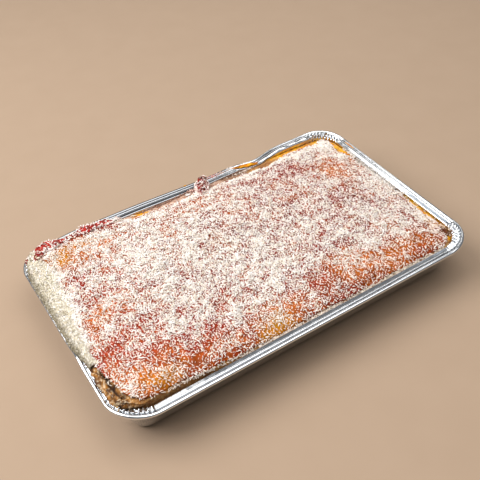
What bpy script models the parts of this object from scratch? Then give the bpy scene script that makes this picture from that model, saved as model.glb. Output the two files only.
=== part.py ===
"""A jam and coconut traybake, baked and sold in its rolled-rim foil tray.

Metres, +Z up. X runs along the tray and Y across it, with the shaded long side of the tray at +Y.
The origin is on the surface that the tray stands on, under the tray's centre.
"""

import math
import random

import bmesh
import bpy
from mathutils import Matrix, Vector, noise

# The foil tray, outside to outside of its rolled rim
TRAY_LENGTH = 0.3192
TRAY_WIDTH = 0.2005
TRAY_DEPTH = 0.0365
CORNER_RADIUS = 0.029
CORNER_LIFT = 0.0012
FOIL = 0.0004
BEAD = 0.0030
LEDGE_DROP = 0.0009
LEDGE_WIDTH = 0.0052
WALL_LEAN = 0.0085
BASE_FOLD = 0.0035
PLEATS = 5
PLEAT_DEPTH = 0.0006
SIDE_STEPS = (22, 6, 8, 6)

# Dents in the tray's long back wall: (place along X, half width, depth)
BACK_DENTS = ((0.020, 0.052, 0.0032), (0.072, 0.016, 0.0046), (-0.128, 0.014, 0.0022))
PUSH_REACH = 0.020

# The sponge, which fills the tray and stands up out of it at the left end
GAP = 0.0004
SPONGE_EDGE = 0.0350
DOME = 0.0082
SHOULDER = 0.009
SHOULDER_DROP = 0.0030
SWELL = 0.0010
LEFT_RISE = 0.0068
OVERHANG = 0.0040
CRAG = 0.0007
SPONGE_CELLS = (28, 22)
SPONGE_RINGS = 6

# The jam over it, with the coconut that is stuck in it
JAM = 0.0016
JAM_INSET = 0.0022
JAM_BACK_INSET = (0.0030, 0.0080)
JAM_RAGGED = 0.0012
JAM_CELLS = (48, 30)
COCONUT_BUMP = 0.0011
BUMP_PITCH = 0.0060
SHREDS = (12, 6)
SHRED_LENGTH = (0.0036, 0.0056)
SHRED_WIDTH = 0.0015
SHRED_THICKNESS = 0.0011

# The bank of loose coconut at the left end, from its front to its back
DRIFT_FRONT = -0.042
DRIFT_BACK = 0.080
DRIFT_STATIONS = 24
DRIFT_TAPER = 0.024
DRIFT_OVER_CAKE = 0.0085
DRIFT_THICKNESS = 0.0029
DRIFT_ROUGH = 0.0009

# Jam that boiled over the back rim, and a lump of it further along
SPILL_START = -0.071
SPILL_WIDTH = 0.0062
SPILL_HEIGHT = 0.0026
SPILL_STATIONS = 20
LUMP_PLACE = (0.0156, 0.0905)
LUMP_SIZE = (0.0170, 0.0085, 0.0046)
LUMP_TURN = math.radians(56)

HALF_LENGTH = TRAY_LENGTH / 2
HALF_WIDTH = TRAY_WIDTH / 2
FLANGE = BEAD + LEDGE_WIDTH
WALL_TOP = TRAY_DEPTH - LEDGE_DROP


def clear_scene():
    for obj in list(bpy.data.objects):
        bpy.data.objects.remove(obj)


def new_collection(name):
    collection = bpy.data.collections.new(name)
    bpy.context.scene.collection.children.link(collection)
    return collection


def new_material(name, colour, roughness, metallic=0.0):
    material = bpy.data.materials.new(name)
    material.use_nodes = True
    surface = material.node_tree.nodes["Principled BSDF"]
    surface.inputs["Base Color"].default_value = (*colour, 1)
    surface.inputs["Roughness"].default_value = roughness
    surface.inputs["Metallic"].default_value = metallic
    return material


def add_object(name, bm, collection, material, smooth_angle=None):
    """Turns a bmesh into a named object, with its faces pointing out."""
    bmesh.ops.recalc_face_normals(bm, faces=bm.faces)
    if bm.calc_volume(signed=True) < 0:
        bmesh.ops.reverse_faces(bm, faces=bm.faces)
    mesh = bpy.data.meshes.new(name)
    bm.to_mesh(mesh)
    bm.free()
    mesh.materials.append(material)
    if smooth_angle is not None:
        mesh.shade_smooth()
        mesh.set_sharp_from_angle(angle=math.radians(smooth_angle))
    obj = bpy.data.objects.new(name, mesh)
    collection.objects.link(obj)
    return obj


def add_cutter(name, bm, collection, material):
    cutter = add_object(name, bm, collection, material)
    cutter.hide_render = True
    cutter.display_type = "WIRE"
    return cutter


def apply_boolean(obj, operation, cutter=None, collection=None):
    """Applies one Boolean to obj, with either an object or a whole collection. The solver is the manifold one,
    because the exact one leaves slivers where the grids of the jam and the sponge cross."""
    modifier = obj.modifiers.new(operation.title(), "BOOLEAN")
    modifier.operation = operation
    modifier.solver = "MANIFOLD"
    if collection is None:
        modifier.object = cutter
    else:
        modifier.operand_type = "COLLECTION"
        modifier.collection = collection
    bpy.context.view_layer.update()
    evaluated = obj.evaluated_get(bpy.context.evaluated_depsgraph_get())
    mesh = bpy.data.meshes.new_from_object(evaluated)
    obj.modifiers.remove(modifier)
    obj.data = mesh


def drop_scraps(obj):
    """Keeps the largest body of obj's mesh, and deletes what a Boolean left loose beside it."""
    bm = bmesh.new()
    bm.from_mesh(obj.data)
    waiting = set(bm.verts)
    bodies = []
    while waiting:
        body = set()
        edge_of_body = {waiting.pop()}
        while edge_of_body:
            body |= edge_of_body
            edge_of_body = {e.other_vert(v) for v in edge_of_body for e in v.link_edges} - body
        waiting -= body
        bodies.append(body)
    largest = max(bodies, key=len)
    bmesh.ops.delete(bm, geom=[vert for vert in bm.verts if vert not in largest])
    bm.to_mesh(obj.data)
    bm.free()


def smooth_step(value):
    value = min(1.0, max(0.0, value))
    return value * value * (3 - 2 * value)


def bell(distance, half_width):
    return math.exp(-((distance / half_width) ** 2))


def wall_push(x, normal):
    """How far the tray's wall stands out of its plain outline, which is negative where the foil is dented."""
    straight = HALF_LENGTH - CORNER_RADIUS
    x = min(straight, max(-straight, x))
    return -max(0.0, normal.y) ** 2 * sum(depth * bell(x - place, width) for place, width, depth in BACK_DENTS)


def tray_stations():
    """Stations round the tray: (point on the corner centres' rectangle, outward normal, pleat from -1 to 1)."""
    core = Vector((HALF_LENGTH - CORNER_RADIUS, HALF_WIDTH - CORNER_RADIUS))
    corners = [Vector((sx * core.x, sy * core.y)) for sx, sy in ((1, 1), (-1, 1), (-1, -1), (1, -1))]
    stations = []
    for quarter, corner in enumerate(corners):
        for step in range(2 * PLEATS + 1):
            angle = math.radians(90 * (quarter + step / (2 * PLEATS)))
            pleat = 0 if step in (0, 2 * PLEATS) else (-1) ** step
            stations.append((corner, Vector((math.cos(angle), math.sin(angle))), pleat))
        following = corners[(quarter + 1) % 4]
        for step in range(1, SIDE_STEPS[quarter]):
            stations.append((corner.lerp(following, step / SIDE_STEPS[quarter]), stations[-1][1], 0))
    return stations


def wall_profile():
    """The foil wall's middle line, base to ledge: (inset from the outline, height, share of the pleats)."""
    base = FLANGE + WALL_LEAN
    return [
        (base + BASE_FOLD, FOIL / 2, 0.0),
        (base + BASE_FOLD * 0.25, FOIL / 2 + BASE_FOLD * 0.3, 0.2),
        (base - WALL_LEAN * 0.12, BASE_FOLD * 1.5, 0.6),
        (FLANGE + WALL_LEAN * 0.45, WALL_TOP * 0.55, 0.9),
        (FLANGE + 0.0010, WALL_TOP - 0.0016, 1.0),
        (FLANGE - 0.0004, WALL_TOP, 0.7),
    ]


def rim_profile():
    """The ledge's outer edge, the groove beside it and the bead curled over and down."""
    profile = [(BEAD + 0.0006, WALL_TOP, 0.4)]
    radius = (BEAD - FOIL) / 2
    for angle in (0, 60, 120, 200):
        turn = math.radians(angle)
        profile.append((BEAD / 2 + radius * math.cos(turn), TRAY_DEPTH - BEAD / 2 + radius * math.sin(turn), 0.0))
    return profile


def make_foil_tray(collection, material):
    """Rings of the profile, bridged into one open sheet and given the foil's thickness."""
    bm = bmesh.new()
    stations = tray_stations()
    rings = []
    for inset, height, share in wall_profile() + rim_profile():
        rise = height / TRAY_DEPTH
        ring = []
        for core, normal, pleat in stations:
            out = CORNER_RADIUS - inset + wall_push(core.x, normal) * rise + PLEAT_DEPTH * pleat * share
            lift = CORNER_LIFT * rise ** 3 * (2 * abs(normal.x * normal.y))
            ring.append(bm.verts.new((*(core + normal * out), height + lift)))
        rings.append([bm.edges.new((vert, ring[i - 1])) for i, vert in enumerate(ring)])
    for lower, upper in zip(rings, rings[1:]):
        bmesh.ops.bridge_loops(bm, edges=lower + upper)
    bmesh.ops.contextual_create(bm, geom=rings[0])
    tray = add_object("foil_tray", bm, collection, material, smooth_angle=40)
    wall = tray.modifiers.new("Foil", "SOLIDIFY")
    wall.thickness = FOIL
    wall.offset = 0
    wall.use_even_offset = True
    return tray


def wall_inset(height):
    """How far inside the outline the foil's inner face lies at a height, with the pleats' depth allowed for."""
    wall = wall_profile()
    below, above = next(((a, b) for a, b in zip(wall, wall[1:]) if height <= b[1]), wall[-2:])
    rise = above[1] - below[1]
    run = below[0] - above[0]
    middle = below[0] - run * (height - below[1]) / rise
    return middle + FOIL / 2 * math.hypot(rise, run) / rise + PLEAT_DEPTH


def to_rounded(u, v, half_x, half_y, radius):
    """Carries the square -1 to 1 to a rounded rectangle, and gives the outward normal for its edge."""
    x = abs(u) * half_x
    y = abs(v) * half_y
    normal = Vector((1.0, 0.0)) if abs(u) >= abs(v) else Vector((0.0, 1.0))
    over = Vector((x - (half_x - radius), y - (half_y - radius)))
    if over.x > 0 and over.y > 0:
        normal = over.normalized()
        over = normal * max(over)
        x = half_x - radius + over.x
        y = half_y - radius + over.y
    side = Vector((math.copysign(1, u), math.copysign(1, v)))
    return Vector((x * side.x, y * side.y)), Vector((normal.x * side.x, normal.y * side.y))


def depth_inside(x, y, half_x, half_y, radius):
    """Distance from a point to the outline of a rounded rectangle, positive inside."""
    over = Vector((abs(x) - half_x + radius, abs(y) - half_y + radius))
    outside = Vector((max(0.0, over.x), max(0.0, over.y))).length
    return radius - outside - min(0.0, max(over))


SPONGE_BROW = SPONGE_EDGE - SHOULDER_DROP - SWELL
COVER_FLOOR = SPONGE_BROW - 0.010
SPONGE_INSET = wall_inset(SPONGE_BROW) + GAP
SPONGE_HALF_X = HALF_LENGTH - SPONGE_INSET
SPONGE_HALF_Y = HALF_WIDTH - SPONGE_INSET
SPONGE_RADIUS = CORNER_RADIUS - SPONGE_INSET


def sponge_depth(x, y):
    return max(0.0, depth_inside(x, y, SPONGE_HALF_X, SPONGE_HALF_Y, SPONGE_RADIUS))


def left_share(x):
    """1 at the left end, where the cake rises over the rim, and 0 from the middle on."""
    return smooth_step((-x - 0.035) / 0.110)


def sponge_top(x, y, inside):
    """Height of the sponge: its edge, a dome flattened in the middle, the swell of the bake and a shoulder."""
    across = min(1.0, abs(x) / SPONGE_HALF_X) ** 2.6
    along = min(1.0, abs(y) / SPONGE_HALF_Y) ** 2.6
    dome = DOME * (1 - across) * (1 - along)
    swell = SWELL * noise.noise(Vector((x, y, 0.4)) / 0.045)
    shoulder = SHOULDER_DROP * max(0.0, 1 - inside / SHOULDER) ** 2
    return SPONGE_EDGE + LEFT_RISE * left_share(x) + dome + swell - shoulder


def overhang(place, normal, height):
    """How far the left end stands out over the ledge, with the crags of its broken side."""
    above_rim = smooth_step((height - WALL_TOP) / 0.0020)
    crag = CRAG * noise.noise(Vector((place.x, place.y, height)) / 0.007)
    return (OVERHANG * max(0.0, -normal.x) ** 2 + crag) * left_share(place.x) ** 3 * above_rim


def spread(value):
    """Draws the grid's lines closer together toward its edges."""
    return value * (1.3 - 0.3 * value * value)


def food_block(cells, inset, draw, top, floor, steps):
    """A block over the sponge's outline. draw(place, normal, height) moves its edge out, top gives its height
    at (x, y, depth inside the outline), and its sides follow the foil's wall down to floor."""
    half_x = SPONGE_HALF_X - inset
    half_y = SPONGE_HALF_Y - inset
    bm = bmesh.new()
    bmesh.ops.create_grid(bm, x_segments=cells[0], y_segments=cells[1], size=1)
    origins = {}
    for vert in bm.verts:
        u = spread(vert.co.x)
        v = spread(vert.co.y)
        place, normal = to_rounded(u, v, half_x, half_y, SPONGE_RADIUS - inset)
        fade = smooth_step(1 - sponge_depth(place.x, place.y) / PUSH_REACH)
        plain = place + normal * draw(place, normal, TRAY_DEPTH) * fade
        z = top(plain.x, plain.y, sponge_depth(plain.x, plain.y))
        plain = place + normal * (draw(place, normal, z) + wall_push(place.x, normal)) * fade
        vert.co = Vector((plain.x, plain.y, z))
        if vert.is_boundary:
            origins[vert] = (place, normal, z)
    edges = [edge for edge in bm.edges if edge.is_boundary]
    for step in range(1, steps + 1):
        made = bmesh.ops.extrude_edge_only(bm, edges=edges)["geom"]
        edges = [item for item in made if isinstance(item, bmesh.types.BMEdge)]
        lower = {}
        for vert in (item for item in made if isinstance(item, bmesh.types.BMVert)):
            above = next(e.other_vert(vert) for e in vert.link_edges if e.other_vert(vert) in origins)
            place, normal, start = origins[above]
            height = side_height(start, floor, step, steps)
            lean = max(0.0, wall_inset(height) - wall_inset(SPONGE_BROW))
            out = wall_push(place.x, normal) * height / TRAY_DEPTH - lean + draw(place, normal, height)
            vert.co = Vector((place.x + normal.x * out, place.y + normal.y * out, height))
            lower[vert] = origins[above]
        origins = lower
    bmesh.ops.contextual_create(bm, geom=edges)
    bmesh.ops.triangulate(bm, faces=bm.faces, quad_method="FIXED")
    return bm


def side_height(start, floor, step, steps):
    """Heights down a side: one just above the rim, one just below the ledge, the rest evenly to the floor."""
    above_rim = min(start - 0.0010, TRAY_DEPTH + 0.0014)
    below_ledge = min(start - 0.0020, WALL_TOP - 0.0015)
    if steps == 1:
        return floor
    if step == 1:
        return above_rim
    return below_ledge + (floor - below_ledge) * (step - 2) / (steps - 2)


def make_sponge(collection, material):
    bm = food_block(SPONGE_CELLS, 0.0, overhang, sponge_top, FOIL + GAP, SPONGE_RINGS)
    return add_object("sponge", bm, collection, material, smooth_angle=50)


def drift_share(y):
    """1 along the bank of coconut and 0 past its two ends."""
    return smooth_step((y - DRIFT_FRONT) / DRIFT_TAPER) * smooth_step((DRIFT_BACK - y) / DRIFT_TAPER)


def drift_reach(y):
    """How far in from the cake's left edge the bank lies on the cake."""
    return DRIFT_OVER_CAKE * (0.12 + 0.88 * drift_share(y))


def jam_edge(place, normal, height):
    """How far the jam's edge lies inside its plain outline: most at the back right and under the bank."""
    narrow, wide = JAM_BACK_INSET
    back = narrow + (wide - narrow) * smooth_step(place.x / 0.040)
    left = max(0.0, drift_reach(place.y) + GAP * 3 - JAM_INSET)
    ragged = JAM_RAGGED * (0.5 + 0.5 * noise.noise(Vector((place.x, place.y, 3.3)) / 0.008))
    return -back * max(0.0, normal.y) ** 2 - left * max(0.0, -normal.x) ** 2 - ragged


def jam_top(x, y, inside):
    """The jam's upper face: the sponge's height, a thickness, and bumps where the coconut lies thick."""
    bump = noise.noise(Vector((x, y, 2.7)) / BUMP_PITCH)
    fine = noise.noise(Vector((x, y, 8.1)) / (BUMP_PITCH * 0.6))
    thin_edge = smooth_step(inside / 0.006)
    relief = COCONUT_BUMP * (bump + 0.7 * fine) * thin_edge
    return sponge_top(x, y, inside) + GAP + JAM * (0.55 + 0.45 * thin_edge) + relief


def make_shreds(collection, material, chance):
    """The largest shreds of coconut at true size: slim blocks set at all angles and half sunk in the jam."""
    columns, rows = SHREDS
    for column in range(columns):
        for row in range(rows):
            u = (column + 0.5 + chance.uniform(-0.28, 0.28)) / columns * 2 - 1
            v = (row + 0.5 + chance.uniform(-0.28, 0.28)) / rows * 2 - 1
            x = u * (SPONGE_HALF_X - 0.016)
            y = v * (SPONGE_HALF_Y - 0.016)
            size = (chance.uniform(*SHRED_LENGTH), SHRED_WIDTH, SHRED_THICKNESS)
            turn = Matrix.Rotation(chance.uniform(0, math.pi), 4, "Z")
            tilt = Matrix.Rotation(math.radians(chance.uniform(-16, 16)), 4, "Y")
            height = jam_top(x, y, sponge_depth(x, y)) - SHRED_THICKNESS * 0.1
            place = Matrix.Translation((x, y, height))
            bm = bmesh.new()
            bmesh.ops.create_cube(bm, matrix=place @ turn @ tilt @ Matrix.Diagonal((*size, 1)))
            add_object(f"shred_{column}_{row}", bm, collection, material)


def make_sponge_form(collection, material):
    """The sponge grown by the gap all over, which shapes the underside of what lies on it."""

    def raised_top(x, y, inside):
        return sponge_top(x, y, inside) + GAP

    bm = food_block(SPONGE_CELLS, -GAP, overhang, raised_top, COVER_FLOOR - 0.005, SPONGE_RINGS)
    return add_cutter("sponge_form", bm, collection, material)


def make_jam_layer(collection, form, material, chance):
    """A bumpy block cut from below by the sponge's form, with the largest shreds fused on."""
    bm = food_block(JAM_CELLS, JAM_INSET, jam_edge, jam_top, COVER_FLOOR, 1)
    jam = add_object("jam_layer", bm, collection, material)
    apply_boolean(jam, "DIFFERENCE", cutter=form)
    shreds = new_collection("shreds")
    make_shreds(shreds, material, chance)
    apply_boolean(jam, "UNION", collection=shreds)
    drop_scraps(jam)
    for shred in list(shreds.objects):
        bpy.data.objects.remove(shred)
    bpy.data.collections.remove(shreds)
    return jam


def left_end(y, inset):
    """Where the tray's left end lies at y, a given inset inside its outline, with the corners' turn."""
    over = max(0.0, abs(y) - (HALF_WIDTH - CORNER_RADIUS))
    radius = CORNER_RADIUS - inset
    return -HALF_LENGTH + inset + radius - math.sqrt(radius ** 2 - over ** 2)


def drift_section(y):
    """One section across the bank in X and Z, before the cake is cut from it: foot, base, crown and slope."""
    share = drift_share(y)
    rim = TRAY_DEPTH + GAP + CORNER_LIFT * smooth_step((y - 0.058) / 0.012)
    side = left_end(y, SPONGE_INSET) - OVERHANG - CRAG - GAP
    toe = side + (left_end(y, BEAD * 0.4) - side) * (0.35 + 0.65 * share)
    thickness = DRIFT_THICKNESS * (0.5 + 0.5 * share)
    crown = []
    for reach in (1.0, 0.7, 0.4, 0.1):
        x = side + reach * (OVERHANG + drift_reach(y))
        rough = DRIFT_ROUGH * noise.noise(Vector((x, y, 5.2)) / 0.006)
        base = sponge_top(x, y, sponge_depth(x, y))
        crown.append((x, base + (thickness + rough) * (1.15 - 0.75 * reach ** 2)))
    rough = DRIFT_ROUGH * noise.noise(Vector((side, y, 9.4)) / 0.006)
    foot = (toe, rim + 0.0008)
    knee = ((toe + side) / 2, rim + 0.0008 + (crown[-1][1] - rim) * 0.62 * share + rough)
    return [(toe, rim), (crown[0][0], rim)] + crown + [knee, foot]


def make_coconut_drift(collection, form, material):
    """Sections lofted along the tray's left end, thinning out at both ends, with the sponge's form cut away."""
    bm = bmesh.new()
    loops = []
    for step in range(DRIFT_STATIONS):
        y = DRIFT_FRONT + (DRIFT_BACK - DRIFT_FRONT) * step / (DRIFT_STATIONS - 1)
        ring = [bm.verts.new((x, y, z)) for x, z in drift_section(y)]
        loops.append([bm.edges.new((vert, ring[i - 1])) for i, vert in enumerate(ring)])
    for first, second in zip(loops, loops[1:]):
        bmesh.ops.bridge_loops(bm, edges=first + second)
    bmesh.ops.contextual_create(bm, geom=loops[0])
    bmesh.ops.contextual_create(bm, geom=loops[-1])
    drift = add_object("coconut_drift", bm, collection, material)
    apply_boolean(drift, "DIFFERENCE", cutter=form)
    drop_scraps(drift)
    return drift


def spill_route():
    """Points along the back ledge from the spill's thin end round the left corner, on the foil's bent outline."""
    inset = BEAD + LEDGE_WIDTH * 0.42
    corner = Vector((-(HALF_LENGTH - CORNER_RADIUS), HALF_WIDTH - CORNER_RADIUS))
    straight = SPILL_START - corner.x
    arc = math.radians(66) * (CORNER_RADIUS - inset)
    route = []
    for step in range(SPILL_STATIONS):
        run = (straight + arc) * step / (SPILL_STATIONS - 1)
        turn = max(0.0, run - straight) / (CORNER_RADIUS - inset)
        core_x = max(corner.x, SPILL_START - run)
        normal = Vector((-math.sin(turn), math.cos(turn)))
        out = CORNER_RADIUS - inset + wall_push(core_x, normal)
        route.append((core_x + normal.x * out, corner.y + normal.y * out))
    return route


def make_jam_spill(collection, material):
    """A low ridge of jam on the back ledge: a flattened tube whose thickness swells and thins."""
    route = spill_route()
    flatten = SPILL_HEIGHT / SPILL_WIDTH
    curve = bpy.data.curves.new("jam_spill", "CURVE")
    curve.dimensions = "3D"
    curve.bevel_depth = SPILL_WIDTH / 2
    curve.bevel_resolution = 1
    curve.use_fill_caps = True
    spline = curve.splines.new("POLY")
    spline.points.add(len(route) - 1)
    for index, (x, y) in enumerate(route):
        ends = smooth_step(min(index, len(route) - 1 - index) / 4 + 0.2)
        radius = ends * (0.84 + 0.26 * noise.noise(Vector((x, y, 1.3)) / 0.009))
        rest = TRAY_DEPTH + GAP + CORNER_LIFT + SPILL_HEIGHT / 2 * radius
        spline.points[index].co = (x, y, rest / flatten, 1)
        spline.points[index].radius = radius
    spill = bpy.data.objects.new("jam_spill", curve)
    spill.scale = (1, 1, flatten)
    curve.materials.append(material)
    collection.objects.link(spill)
    return spill


def make_jam_lump(collection, material):
    """A squashed, uneven lump of jam and coconut, lying aslant from the cake's edge to the rim."""
    bm = bmesh.new()
    bmesh.ops.create_icosphere(bm, subdivisions=2, radius=1)
    half = Vector(LUMP_SIZE) / 2
    for vert in bm.verts:
        swell = 1 + 0.16 * noise.noise(vert.co * 1.7)
        vert.co = Vector((vert.co.x * half.x, vert.co.y * half.y, vert.co.z * half.z)) * swell
    bmesh.ops.rotate(bm, verts=bm.verts, matrix=Matrix.Rotation(LUMP_TURN, 3, "Z"))
    bmesh.ops.translate(bm, verts=bm.verts, vec=(*LUMP_PLACE, TRAY_DEPTH + GAP + half.z * 1.12))
    return add_object("jam_lump", bm, collection, material, smooth_angle=60)


def main():
    clear_scene()
    chance = random.Random(7)
    part = new_collection("jam_coconut_traybake")
    cutters = new_collection("cutters")
    foil = new_material("aluminium_foil", (0.78, 0.79, 0.80), 0.28, metallic=1.0)
    sponge = new_material("golden_sponge", (0.66, 0.36, 0.09), 0.85)
    jam = new_material("jam_with_coconut", (0.62, 0.20, 0.13), 0.35)
    coconut = new_material("desiccated_coconut", (0.88, 0.84, 0.74), 0.75)
    make_foil_tray(part, foil)
    make_sponge(part, sponge)
    form = make_sponge_form(cutters, sponge)
    make_jam_layer(part, form, jam, chance)
    make_coconut_drift(part, form, coconut)
    make_jam_spill(part, jam)
    make_jam_lump(part, jam)


main()
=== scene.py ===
"""The looks of a jam and coconut traybake in its rolled-rim foil tray.

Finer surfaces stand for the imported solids. They are worked out from the same sizes as the part's source, in
its own frame, in metres with +Z up. The coconut lies on them as loose shreds at true size.
"""

import math

import bpy
import numpy as np
from mathutils import Matrix, Vector


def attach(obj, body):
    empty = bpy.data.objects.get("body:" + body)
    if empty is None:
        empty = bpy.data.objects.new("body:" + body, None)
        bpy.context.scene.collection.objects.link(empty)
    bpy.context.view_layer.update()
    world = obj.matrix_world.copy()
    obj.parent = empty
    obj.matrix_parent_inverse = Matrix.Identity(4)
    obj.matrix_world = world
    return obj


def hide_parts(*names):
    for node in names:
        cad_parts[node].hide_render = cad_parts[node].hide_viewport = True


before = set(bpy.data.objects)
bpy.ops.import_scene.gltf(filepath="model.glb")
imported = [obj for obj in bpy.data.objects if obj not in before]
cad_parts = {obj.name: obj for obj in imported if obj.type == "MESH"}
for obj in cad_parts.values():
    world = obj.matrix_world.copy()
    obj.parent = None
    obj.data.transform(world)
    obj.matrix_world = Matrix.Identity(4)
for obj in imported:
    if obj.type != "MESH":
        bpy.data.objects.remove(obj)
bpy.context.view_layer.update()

MM = 0.001

# The foil tray, as in the part's source
HALF_LENGTH = 0.3192 / 2
HALF_WIDTH = 0.2005 / 2
TRAY_DEPTH = 0.0365
CORNER_RADIUS = 0.029
CORNER_LIFT = 0.0012
BEAD = 0.0030
LEDGE_DROP = 0.0009
LEDGE_WIDTH = 0.0052
WALL_LEAN = 0.0085
BASE_FOLD = 0.0035
BACK_DENTS = ((0.020, 0.052, 0.0032), (0.072, 0.016, 0.0046), (-0.128, 0.014, 0.0022))
PUSH_REACH = 0.020
FLANGE = BEAD + LEDGE_WIDTH
WALL_TOP = TRAY_DEPTH - LEDGE_DROP
CORNER_X = HALF_LENGTH - CORNER_RADIUS
CORNER_Y = HALF_WIDTH - CORNER_RADIUS

# What the scene's foil adds: its thickness, a step between two ledges, pleats, crinkles, a bent-up flap, and
# how far apart its stations are on the straights and how many go round a corner
FOIL_SHEET = 0.00018
LEDGE_STEP = 0.00055
CORNER_PLEATS = 11
PLEAT_DEPTH = 0.00090
PLEAT_HEAVE = 0.00120
CRINKLE = 0.00030
FLAP_PLACE = -0.029
FLAP_HALF = 0.0085
FLAP_RISE = 0.0032
STATION_PITCH = 0.0016
CORNER_STATIONS = 88
# Folds darkened by painted shade: (inset from the outline, half width, share of the brightness lost)
FOLD_SHADE_LINES = ((BEAD + 0.0003, 0.00055, 0.50), (BEAD + 0.0020, 0.00040, 0.28))
# Painted shade along the fold at the wall's top, given the same way
LIP_SHADE_LINE = (FLANGE - 0.0001, 0.00060, 0.75)

# The sponge and the jam on it, as in the part's source
GAP = 0.0004
SPONGE_EDGE = 0.0350
DOME = 0.0082
SHOULDER = 0.009
SHOULDER_DROP = 0.0030
SWELL = 0.0010
LEFT_RISE = 0.0068
OVERHANG = 0.0040
CRAG = 0.0007
JAM = 0.0016
JAM_INSET = 0.0006
JAM_BACK_INSET = (0.0078, 0.0098)
JAM_LEFT_INSET = 0.0056
JAM_RIGHT_INSETS = ((0.061, 0.016, 0.0085), (-0.048, 0.022, 0.0050), (-0.080, 0.008, 0.0065))
JAM_RAGGED = 0.0012
COCONUT_BUMP = 0.0011
BUMP_PITCH = 0.0060
SPONGE_BROW = SPONGE_EDGE - SHOULDER_DROP - SWELL
SPONGE_INSET = 0.01045
SPONGE_HALF_X = HALF_LENGTH - SPONGE_INSET
SPONGE_HALF_Y = HALF_WIDTH - SPONGE_INSET
SPONGE_RADIUS = CORNER_RADIUS - SPONGE_INSET

# What the scene adds to them: cells along X and Y, rings down the side, pits, crumbs and cracks
SPONGE_CELLS = (250, 156)
SPONGE_RINGS = 36
JAM_CELLS = (236, 146)
CRUMB_PIT = 0.0005
TORN_CRUMB = 0.0011
FRESH_FLOOR = 0.0009
CRACK_DEPTH = 0.0036
CRUMB_SLOPE = 0.0034
# Splits along the left end: (how far in from the edge, half width, Y of both ends)
CRACKS = ((0.0036, 0.0011, -0.080, -0.050), (0.0062, 0.0008, -0.089, -0.077))

# Coconut on the jam: the most that lies on it, as -ln(1 - cover), and what one shred hides, in m²
THICKEST = 3.2
SHRED_AREA = 1.44e-6
# Shreds: how much their length varies, the longest, their width over length, and the most in one piece
LENGTH_SPREAD = 0.0005
LONGEST = 0.0036
SLIM = (0.36, 0.58)
PIECE_SHREDS = 13500

# The bank of loose coconut at the left end, the boiled-over jam and the lump, as in the part's source
DRIFT_FRONT = -0.042
DRIFT_BACK = 0.080
DRIFT_TAPER = 0.024
DRIFT_OVER_CAKE = 0.0105
DRIFT_THICKNESS = 0.0029
DRIFT_ROUGH = 0.0011
DRIFT_SHREDS = 9500
SPILL_START = -0.071
SPILL_INSET = 0.0096
SPILL_WIDTH = 0.0182
SPILL_HEIGHT = 0.0022
SPILL_TURN = math.radians(84)
SPILL_SHREDS = 420
LUMP_PLACE = (0.0090, 0.0826)
LUMP_SIZE = (0.0215, 0.0118, 0.0072)
LUMP_TURN = math.radians(48)
LUMP_SHREDS = 360

# Colours of the jam where it shows through, and of what browned at its edges
# The plum is partly the jam's own darker tone and partly painted shade, for the gaps between thick coconut in
# the middle
JAM_HEX = {
    "raspberry": "#84281a", "plum_and_shade": "#6a2420", "crimson": "#8e1a06", "scarlet": "#a43404",
    "orange": "#c06408", "amber": "#cc8c08", "toffee": "#94480a",
}

# Patches of jam: (X and Y of the middle, half sizes along X and Y, all in mm, colour, strength)
JAM_PATCHES = (
    (-100, -20, 60, 90, "scarlet", 0.5), (-76, -72, 44, 18, "orange", 0.30),
    (-130, 62, 20, 14, "toffee", 0.6), (-136, 60, 12, 10, "amber", 0.7),
    (-112, 66, 22, 9, "amber", 0.6), (-98, 56, 28, 10, "orange", 0.7),
    (-127, 35, 13, 12, "crimson", 0.7), (-130, -8, 18, 12, "orange", 0.8),
    (-127, -44, 17, 12, "scarlet", 0.9), (-130, -76, 22, 14, "orange", 0.95),
    (-112, -86, 16, 8, "amber", 0.6), (-88, -68, 26, 16, "crimson", 0.9),
    (-70, -84, 22, 7, "orange", 0.5), (-62, -92, 26, 5, "crimson", 0.9),
    (-10, -74, 22, 12, "orange", 0.8), (-26, -86, 14, 9, "amber", 0.9),
    (-42, -80, 9, 5, "crimson", 0.9), (-118, 88, 50, 5, "crimson", 1.0),
    (24, -66, 9, 6, "crimson", 0.8), (52, -76, 24, 12, "toffee", 0.8),
    (62, -70, 24, 12, "orange", 0.6), (98, -74, 40, 14, "orange", 0.9),
    (118, -76, 32, 15, "toffee", 0.65), (109, -83, 11, 5, "crimson", 0.7),
    (109, -50, 11, 7, "orange", 0.7), (128, -84, 16, 5, "toffee", 0.8),
    (143, -81, 7, 6, "crimson", 0.9), (71, 60, 22, 8, "crimson", 0.6),
    (20, 42, 12, 12, "orange", 0.5), (-12, 62, 34, 14, "orange", 0.5),
    (118, 34, 21, 19, "orange", 0.9), (62, 15, 15, 10, "plum_and_shade", 0.5),
    (106, -7, 10, 6, "plum_and_shade", 0.6), (41, -13, 8, 15, "plum_and_shade", 0.6),
    (-12, 7, 24, 20, "plum_and_shade", 0.85), (-66, -60, 14, 7, "crimson", 0.8),
    (-68, -18, 32, 18, "plum_and_shade", 0.6), (120, 78, 40, 9, "orange", 0.6),
    (147, -45, 5, 30, "amber", 0.8), (146, 62, 8, 24, "amber", 0.8),
)

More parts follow.
